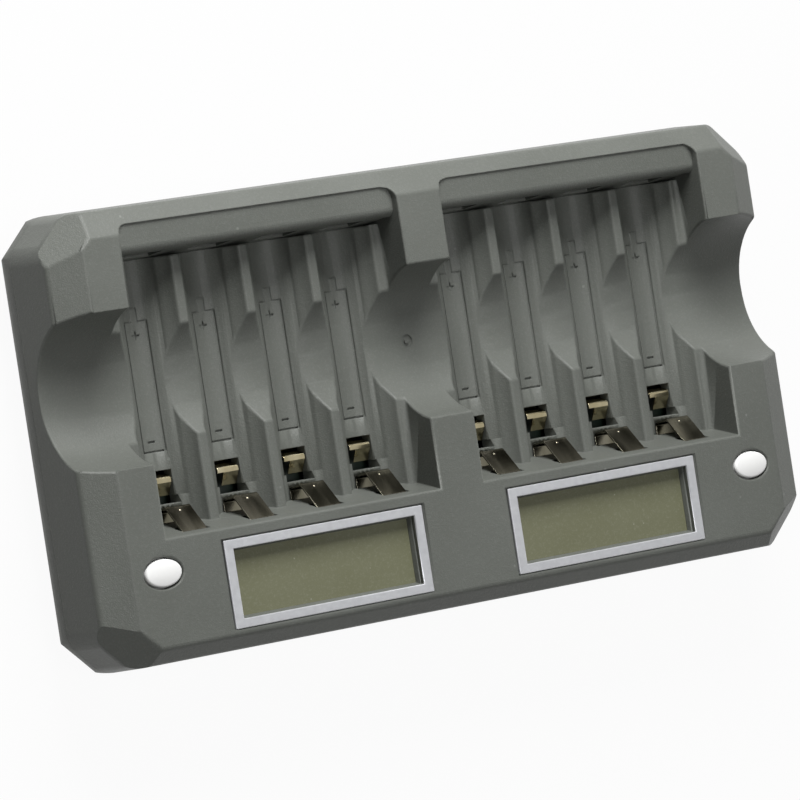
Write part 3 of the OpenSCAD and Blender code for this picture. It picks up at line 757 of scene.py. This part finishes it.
@dataclass
class CellMark:
    """Battery outline with plus and minus signs, sunk into the bottom of a cell's groove.

    Attributes:
        front: the outline's front end.
        shoulder: where the body ends and the nub starts.
        tip: the nub's rear end.
        body_w: width of the body.
        nub_w: width of the nub.
        line: width of the lines.
        sunk: depth of the lines.
        groove_r: radius of the groove that they follow.
        steps: facets across a line's floor.
        sign_sunk: depth of the signs.
        reach: height of the line cutters above the groove's bottom.
        plus_at: middle of the plus sign, front to rear.
        minus_at: middle of the minus sign, front to rear.
        minus_shift: how far the minus sign lies to the side.
        sign_l: length of the signs' strokes.
        sign_w: width of the signs' strokes.
    """

    front: float = -4.0 * MM
    shoulder: float = 22.3 * MM
    tip: float = 25.0 * MM
    body_w: float = 5.4 * MM
    nub_w: float = 1.9 * MM
    line: float = 0.34 * MM
    sunk: float = 0.26 * MM
    groove_r: float = 5.4 * MM
    steps: int = 6
    sign_sunk: float = 0.55 * MM
    reach: float = 1.5 * MM
    plus_at: float = 19.35 * MM
    minus_at: float = -1.87 * MM
    minus_shift: float = -0.15 * MM
    sign_l: float = 1.8 * MM
    sign_w: float = 0.38 * MM

    def long_lines(self, mesh: bmesh.types.BMesh, x: float, bed: float) -> None:
        """Add the cutters of the outline's lines along one cell.

        Args:
            mesh: the mesh that collects the cutters.
            x: the cell's axis.
            bed: height of the groove's bottom.
        """
        runs = (
            (self.body_w / 2, self.front, self.shoulder),
            (self.nub_w / 2, self.shoulder - self.line, self.tip))
        for half, start, end in runs:
            for side in (-1.0, 1.0):
                span = sorted((side * half, side * (half - self.line)))
                self._trough(mesh, Vector((x, start, bed)), span, end - start)

    def cross_lines(self, mesh: bmesh.types.BMesh, x: float, bed: float) -> None:
        """Add the cutters of the outline's lines across one cell: its two ends and its shoulders.

        Args:
            mesh: the mesh that collects the cutters.
            x: the cell's axis.
            bed: height of the groove's bottom.
        """
        body, nub = self.body_w / 2, self.nub_w / 2
        at_shoulder = self.shoulder - self.line
        bars = (
            (-body, body, self.front),
            (-body, self.line - nub, at_shoulder),
            (nub - self.line, body, at_shoulder),
            (-nub, nub, self.tip - self.line))
        for left, right, start in bars:
            self._trough(mesh, Vector((x, start, bed)), [left, right], self.line)

    def _trough(self, mesh: bmesh.types.BMesh, at: Vector, span: list[float], length: float) -> None:
        """Add a cutter whose floor follows the round groove a little below it.

        Args:
            mesh: the mesh that collects the cutters.
            at: the front end of the groove's lowest line.
            span: the cutter's left and right side, from that line.
            length: length of the cutter, front to rear.
        """
        radius = self.groove_r + self.sunk
        left, right = span
        across = [left + (right - left) * i / self.steps for i in range(self.steps + 1)]
        ring = [Vector((x, 0.0, self.groove_r - math.sqrt(radius**2 - x**2))) for x in across]
        ring += [Vector((x, 0.0, self.reach)) for x in (right, left)]
        self._draw(mesh, mesh.faces.new([mesh.verts.new(at + p) for p in ring]), (0.0, length, 0.0))

    def signs(self, mesh: bmesh.types.BMesh, x: float, bed: float) -> None:
        """Add the cutters of one cell's plus and minus signs.

        Args:
            mesh: the mesh that collects the cutters.
            x: the cell's axis.
            bed: height of the groove's bottom.
        """
        low = bed - self.sign_sunk
        arm, stroke = self.sign_l / 2, self.sign_w / 2
        plus = [(arm, stroke), (stroke, stroke), (stroke, arm)]
        turned = [Matrix.Rotation(math.radians(90.0 * i), 2) @ Vector(p) for i in range(4) for p in plus]
        dash = [Vector((sx * arm, sy * stroke)) for sx, sy in ((1, 1), (-1, 1), (-1, -1), (1, -1))]
        for points, at_x, at_y in ((turned, x, self.plus_at), (dash, x + self.minus_shift, self.minus_at)):
            face = mesh.faces.new([mesh.verts.new((at_x + p.x, at_y + p.y, low)) for p in points])
            self._draw(mesh, face, (0.0, 0.0, 2 * self.sign_sunk))

    @staticmethod
    def _draw(mesh: bmesh.types.BMesh, face: bmesh.types.BMFace, way: Triple) -> None:
        """Draw a flat face out into a closed prism.

        Args:
            mesh: the mesh that the face is in.
            face: the flat face.
            way: how far and which way it is drawn out.
        """
        made = bmesh.ops.extrude_face_region(mesh, geom=[face], use_keep_orig=True)
        end = [item for item in made["geom"] if isinstance(item, bmesh.types.BMVert)]
        bmesh.ops.translate(mesh, vec=way, verts=end)


@dataclass
class UpperShell:
    """The upper moulding with the bays, cell cradles, finger scoop and rolled lip.

    Attributes:
        shop: the workshop that copies and dresses it.
        top: height of the face.
        groove_depth: depth of the grooves' bottom below the face.
        cells: axes of the cells on the right.
        slot_half: reach to each side of an axis in which the contact slots lie.
        slot_span: front and rear of those slots.
        slot_top: height under which their edges stay sharp.
        window_half: reach to each side of an axis of the windows under the lip.
        window_front: front of the windows.
        window_top: height of their tops.
        seam: height under which the parting line's edges stay sharp.
        front_corner: sum of the distances along and across from which a front corner's edges stay sharp.
        ridge: distances from an axis between which a groove's ridge lies.
        ridge_top: height under which a ridge stays sharp.
        gate: middle of the gate mark.
        gate_depth: depth of the scoop's bottom below the face there.
        gate_sunk: depth of the gate mark.
        gate_r: radius of its nub and of the mark.
        gate_steps: facets round it.
        gate_weld: distance within which the corners of its cutter are merged.
        gate_reach: height of its cutter above the scoop's bottom.
        over: how far the outline's cutter stands above the face.
        rule: how the edges are rounded.
        plan: the outline seen from above.
        mark: the battery outline in each groove.
    """

    shop: Workshop
    top: float = 25.0 * MM
    groove_depth: float = 14.5 * MM
    cells: tuple[float, ...] = (14.315 * MM, 30.315 * MM, 46.315 * MM, 62.315 * MM)
    slot_half: float = 3.7 * MM
    slot_span: tuple[float, float] = (-23.0 * MM, -7.4 * MM)
    slot_top: float = 23.6 * MM
    window_half: float = 4.1 * MM
    window_front: float = 33.6 * MM
    window_top: float = 19.6 * MM
    seam: float = 9.7 * MM
    front_corner: float = 119.0 * MM
    ridge: tuple[float, float] = (3.6 * MM, 4.7 * MM)
    ridge_top: float = 13.2 * MM
    gate: tuple[float, float] = (0.4 * MM, 9.7 * MM)
    gate_depth: float = 12.7 * MM
    gate_sunk: float = 0.4 * MM
    gate_r: tuple[float, float] = (0.5 * MM, 1.45 * MM)
    gate_steps: int = 32
    gate_weld: float = 1e-6
    gate_reach: float = MM
    over: float = 2.0 * MM
    rule: EdgeRule = EdgeRule(0.42 * MM, segments=3)
    plan: SoftPlan = SoftPlan()
    mark: CellMark = field(default_factory=CellMark)

    def build(self) -> None:
        """Copy, round and engrave the moulding."""
        mesh = self.shop.copy("top_cover")
        count = self.shop.round_edges(mesh, self.rule, self._quiet)
        log.info("upper shell: %d edges rounded", count)
        piece = self.shop.place(mesh, "upper_shell", HOUSING, "top_cover")
        self.shop.cut(piece, self.plan.tool(0.0, self.top + self.over), "soft_corners", "INTERSECT")
        bed = self.top - self.groove_depth
        cutters = (
            ("long_lines", self.mark.long_lines),
            ("cross_lines", self.mark.cross_lines),
            ("signs", self.mark.signs))
        for label, cutter in cutters:
            tool = bmesh.new()
            for side in (-1.0, 1.0):
                for x in self.cells:
                    cutter(tool, side * x, bed)
            self.shop.cut(piece, tool, label)
        self.shop.cut(piece, self._gate_ring(), "gate")
        self.shop.shade(piece)
        self.shop.level_off(piece)

    def _quiet(self, corner: Vector) -> bool:
        """Tell whether a corner belongs to a slot, a window, a groove's ridge, the seam or a front corner.

        Args:
            corner: the corner's place.

        Returns:
            Whether the edges that meet there stay sharp.
        """
        near = min(abs(abs(corner.x) - x) for x in self.cells)
        in_slot = near < self.slot_half and self.slot_span[0] < corner.y < self.slot_span[1]
        in_window = near < self.window_half and corner.y > self.window_front and corner.z < self.window_top
        at_front = corner.y < 0.0 and abs(corner.x) + abs(corner.y) > self.front_corner
        on_ridge = self.ridge[0] < near < self.ridge[1] and corner.z < self.ridge_top
        sunk = in_slot and corner.z < self.slot_top
        return sunk or in_window or at_front or on_ridge or corner.z < self.seam

    def _gate_ring(self) -> bmesh.types.BMesh:
        """Make the cutter of the round gate mark, with its nub left standing, in the scoop's bottom.

        Returns:
            The cutter.
        """
        tool = bmesh.new()
        floor = self.top - self.gate_depth
        centre = Vector((self.gate[0], self.gate[1], 0.0))
        nub, rim = self.gate_r
        low, high = -self.gate_sunk, self.gate_reach
        profile = ((nub, low), (rim, low), (rim, high), (nub, high))
        points = [tool.verts.new(centre + Vector((r, 0.0, floor + z))) for r, z in profile]
        edges = [tool.edges.new((points[i], points[(i + 1) % 4])) for i in range(4)]
        bmesh.ops.spin(
            tool, geom=points + edges, cent=centre, axis=(0.0, 0.0, 1.0), angle=math.tau,
            steps=self.gate_steps, use_merge=True)
        bmesh.ops.remove_doubles(tool, verts=tool.verts, dist=self.gate_weld)
        return tool


@dataclass
class LowerShell:
    """The lower moulding with its feet, screws and the inlet that sits between the shells.

    Attributes:
        shop: the workshop that copies and dresses it.
        plan: the outline seen from above.
        under: how far the outline's cutter reaches below the table.
        over: how far it reaches above the parting line.
        fittings: solid, name and edge radius of what is fixed to the moulding.
    """

    shop: Workshop
    plan: SoftPlan = SoftPlan()
    under: float = MM
    over: float = 6.0 * MM
    fittings: tuple[tuple[str, str, float], ...] = (
        ("rubber_feet", "feet", 0.25 * MM),
        ("cover_screws", "case_screws", 0.12 * MM),
        ("dc_jack", "inlet", 0.15 * MM))

    def build(self) -> None:
        """Copy and round the moulding, and dress what is fixed to it."""
        piece = self.shop.place(self.shop.copy("bottom_cover"), "lower_shell", HOUSING, "bottom_cover")
        outline = self.plan.tool(-self.under, self.plan.part + self.over)
        self.shop.cut(piece, outline, "soft_corners", "INTERSECT")
        self.shop.shade(piece)
        self.shop.level_off(piece)
        for node, name, radius in self.fittings:
            solid = self.shop.copy(node, self.shop.fine_weld)
            self.shop.round_edges(solid, EdgeRule(radius, lowest_facing=ANY_WAY))
            self.shop.place(solid, name, HOUSING, node)


@dataclass
class Display:
    """One display: its silver frame and the panel behind it.

    Attributes:
        shop: the workshop that copies and dresses it.
        side: the end of the case that it is nearer to.
        frame_rule: how the frame's edges are rounded.
        panel_rule: how the panel's edges are rounded.
        upright: height of a normal under which a face counts as a wall.
    """

    shop: Workshop
    side: Side
    frame_rule: EdgeRule = EdgeRule(0.22 * MM, segments=3)
    panel_rule: EdgeRule = EdgeRule(0.06 * MM)
    upright: float = 0.3

    def build(self) -> None:
        """Copy, round and place the frame and the panel."""
        for node, name, rule in (
            (f"display_frame_{self.side.value}", f"silver_frame_{self.side.value}", self.frame_rule),
            (f"lcd_panel_{self.side.value}", f"display_glass_{self.side.value}", self.panel_rule)):
            mesh = self.shop.copy(node)
            self.shop.round_edges(mesh, rule)
            piece = self.shop.place(mesh, name, HOUSING, node)
            if rule is self.frame_rule:
                self._bare_walls(piece)

    def _bare_walls(self, frame: bpy.types.Object) -> None:
        """Leave the paint off the upright walls inside a frame, which show its grey plastic.

        Args:
            frame: the dressed frame.
        """
        frame.data.materials.append(self.shop.materials["case_plastic"])
        low, high = (Vector(corner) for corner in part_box(f"display_frame_{self.side.value}"))
        middle = (low + high) / 2
        for face in frame.data.polygons:
            inward = (middle - face.center).dot(face.normal) > 0.0
            if inward and abs(face.normal.z) < self.upright:
                face.material_index = 1


@dataclass
class PushButton:
    """One white oval button, domed and with a soft rim."""

    shop: Workshop
    side: Side

    def build(self) -> None:
        """Copy and place the button on its own body."""
        node = f"button_{self.side.value}"
        mesh = self.shop.copy(node, self.shop.fine_weld)
        self.shop.place(mesh, f"key_{self.side.value}", node, node)


@dataclass
class CellContacts:
    """The contacts of all the cells: bent nickel-plated strip with broken edges.

    Attributes:
        shop: the workshop that copies and dresses them.
        count: number of cells.
        crease: angle in degrees from which an edge of a strip shades as sharp.
        flat_area: area from which a face counts as a flat run of the strip.
        same_way: cosine of the angle under which a face lies in such a run.
        rule: how the strips' edges are broken.
        finishes: the finish of each kind, whose colours carry painted reflection, painted highlight and
            painted shade.
    """

    shop: Workshop
    count: int = 8
    crease: float = 18.0
    flat_area: float = 1.3 * MM * MM
    same_way: float = 0.9999
    rule: EdgeRule = EdgeRule(0.05 * MM, least_turn=60.0, lowest_facing=ANY_WAY)
    # The strips' colours carry painted reflection and painted highlight; the positive plates' darker copy is
    # painted shade.
    finishes: dict[ContactKind, str] = field(default_factory=lambda: {
        ContactKind.AA: "contact_nickel",
        ContactKind.AAA: "nickel_painted_warm_reflection",
        ContactKind.POSITIVE: "nickel_painted_shade"})

    def build(self) -> None:
        """Copy, round and place each contact on the body that it moves with."""
        for kind, finish in self.finishes.items():
            for number in range(1, self.count + 1):
                node = f"{kind.value}_{number}"
                body = HOUSING if kind is ContactKind.POSITIVE else node
                mesh = self.shop.copy(node, self.shop.fine_weld)
                self.shop.round_edges(mesh, self.rule)
                name = f"{kind.value}_strip_{number}"
                self._flatten(self.shop.place(mesh, name, body, node, self.crease, finish))

    def _flatten(self, piece: bpy.types.Object) -> None:
        """Shade the flat runs of a strip as flat and leave its bends and its dimple smooth.

        Args:
            piece: the dressed strip.
        """
        piece.modifiers.clear()
        runs = [face.normal.copy() for face in piece.data.polygons if face.area > self.flat_area]
        for face in piece.data.polygons:
            face.use_smooth = not any(face.normal.dot(run) > self.same_way for run in runs)


@dataclass
class InnerPieces:
    """The boards and what stands on them, which the closed case hides."""

    shop: Workshop
    nodes: tuple[str, ...] = (
        "lcd_connectors", "tact_switch_left", "tact_switch_right", "display_board", "main_board",
        "filter_capacitors", "power_coils", "board_screws")

    def build(self) -> None:
        """Dress each solid as it is."""
        for node in self.nodes:
            self.shop.paint(node)


@dataclass(frozen=True)
class Lamp:
    """A square soft lamp that faces the object.

    Attributes:
        name: the lamp's name.
        place: where it hangs, in millimetres.
        size: length of its side.
        watts: its power.
    """

    name: str
    place: Triple
    size: float
    watts: float


@dataclass
class Studio:
    """Camera, lamps, floor and surroundings.

    Attributes:
        target: the point that the camera looks at.
        distance: how far the camera is from it.
        tilt: how far the camera leans to the left of straight above.
        swing: how far it leans to the front.
        roll: how far it is turned about its own axis.
        lens: focal length in millimetres.
        sensor: width of the sensor in millimetres.
        far: distance up to which the camera sees.
        ambient: strength of the light from all round.
        floor_size: length of the floor's side.
        floor_shift: how far the floor's middle lies to the right.
        floor_grey: the floor's own colour.
        floor_rough: the floor's roughness.
        floor_share: how much of the floor that is seen is plain white.
        white: strength at which the surroundings look white.
        aim: height that the lamps face.
        lamps: the lamps.
    """

    target: Vector = field(default_factory=lambda: Vector((-12.07, -1.45, 25.0)) * MM)
    distance: float = 1132.0 * MM
    tilt: float = math.radians(34.19)
    swing: float = math.radians(-1.62)
    roll: float = math.radians(-8.71)
    lens: float = 254.25
    sensor: float = 36.0
    far: float = 20.0
    ambient: float = 0.02
    floor_size: float = 6.0
    floor_shift: float = 1.0
    floor_grey: float = 0.5
    floor_rough: float = 0.9
    floor_share: float = 0.95
    white: float = 1.0
    aim: float = 20.0 * MM
    lamps: tuple[Lamp, ...] = (
        Lamp("key", (-40.0, 480.0, 330.0), 300.0 * MM, 6.2),
        Lamp("overhead", (-60.0, -20.0, 900.0), 300.0 * MM, 2.6),
        Lamp("fill", (-300.0, -500.0, 250.0), 400.0 * MM, 0.25))

    def build(self) -> None:
        """Set up everything round the object."""
        self._camera()
        for lamp in self.lamps:
            self._hang(lamp)
        self._floor()
        self._world()
        bpy.context.scene.view_settings.view_transform = "Standard"

    def _camera(self) -> None:
        """Place the camera at the photograph's viewing angle."""
        ahead = Vector((
            math.sin(self.tilt),
            math.sin(self.swing) * math.cos(self.tilt),
            -math.cos(self.tilt) * math.cos(self.swing))).normalized()
        north = Vector((0.0, 1.0, 0.0))
        up = (north - ahead * north.dot(ahead)).normalized()
        right = ahead.cross(up)
        across = right * math.cos(self.roll) + up * math.sin(self.roll)
        upward = up * math.cos(self.roll) - right * math.sin(self.roll)
        data = bpy.data.cameras.new("photo_camera")
        data.lens = self.lens
        data.sensor_width = self.sensor
        data.clip_end = self.far
        camera = bpy.data.objects.new("photo_camera", data)
        turn = Matrix((across, upward, -ahead)).transposed().to_4x4()
        camera.matrix_world = Matrix.Translation(self.target - ahead * self.distance) @ turn
        bpy.context.scene.collection.objects.link(camera)
        bpy.context.scene.camera = camera

    def _hang(self, lamp: Lamp) -> None:
        """Hang a lamp in its place.

        Args:
            lamp: the lamp.
        """
        data = bpy.data.lights.new(lamp.name, "AREA")
        data.size = lamp.size
        data.energy = lamp.watts
        place = Vector(lamp.place) * MM
        hung = bpy.data.objects.new(lamp.name, data)
        hung.location = place
        hung.rotation_euler = (Vector((0.0, 0.0, self.aim)) - place).to_track_quat("-Z", "Y").to_euler()
        bpy.context.scene.collection.objects.link(hung)

    @staticmethod
    def _seen(graph: Graph) -> bpy.types.NodeSocket:
        """Find the rays that come from the camera, a mirror or glass.

        Args:
            graph: the graph that gets the nodes.

        Returns:
            A socket that is 1 for such rays.
        """
        path = graph.add("ShaderNodeLightPath")
        seen = graph.math("MAXIMUM", path.outputs["Is Camera Ray"], path.outputs["Is Glossy Ray"])
        return graph.math("MAXIMUM", seen, path.outputs["Is Transmission Ray"])

    def _floor(self) -> None:
        """Lay a white floor that keeps a faint shadow and is clear from below."""
        mesh = bmesh.new()
        bmesh.ops.create_grid(mesh, x_segments=1, y_segments=1, size=self.floor_size / 2)
        bmesh.ops.translate(mesh, vec=(self.floor_shift, 0.0, 0.0), verts=mesh.verts)
        data = bpy.data.meshes.new("floor")
        mesh.to_mesh(data)
        mesh.free()
        material = bpy.data.materials.new("floor_white")
        material.use_nodes = True
        graph = Graph(material.node_tree)
        surface = material.node_tree.nodes["Principled BSDF"]
        surface.inputs["Base Color"].default_value = (*[self.floor_grey] * 3, 1.0)
        surface.inputs["Roughness"].default_value = self.floor_rough
        glow = graph.add("ShaderNodeEmission", {"Strength": self.white})
        share = graph.math("MULTIPLY", self._seen(graph), self.floor_share)
        blend = graph.add("ShaderNodeMixShader")
        graph.feed(blend.inputs[0], share)
        graph.feed(blend.inputs[1], surface.outputs[0])
        graph.feed(blend.inputs[2], glow.outputs[0])
        clear = graph.add("ShaderNodeBsdfTransparent")
        whole = graph.add("ShaderNodeMixShader")
        graph.feed(whole.inputs[0], graph.add("ShaderNodeNewGeometry").outputs["Backfacing"])
        graph.feed(whole.inputs[1], blend.outputs[0])
        graph.feed(whole.inputs[2], clear.outputs[0])
        graph.feed(material.node_tree.nodes["Material Output"].inputs["Surface"], whole.outputs[0])
        data.materials.append(material)
        floor = bpy.data.objects.new("floor", data)
        bpy.context.scene.collection.objects.link(floor)

    def _world(self) -> None:
        """Surround the scene with soft light that looks white."""
        world = bpy.data.worlds.new("studio")
        world.use_nodes = True
        graph = Graph(world.node_tree)
        backdrop = world.node_tree.nodes["Background"]
        level = graph.span(self._seen(graph), (0.0, self.ambient), (1.0, self.white))
        graph.feed(backdrop.inputs["Strength"], level)
        backdrop.inputs["Color"].default_value = (1.0, 1.0, 1.0, 1.0)
        bpy.context.scene.world = world


def clear_scene() -> None:
    """Empty the file that Blender starts with."""
    for item in list(bpy.data.objects):
        bpy.data.objects.remove(item)


def main() -> None:
    """Build the sub-assemblies in order."""
    logging.basicConfig(level=logging.INFO, format="%(name)s: %(message)s")
    clear_scene()
    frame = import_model()
    shop = Workshop(frame, SurfaceGroups())
    UpperShell(shop).build()
    LowerShell(shop).build()
    for side in Side:
        Display(shop, side).build()
        PushButton(shop, side).build()
    CellContacts(shop).build()
    InnerPieces(shop).build()
    Studio().build()


if __name__ == "__main__":
    main()
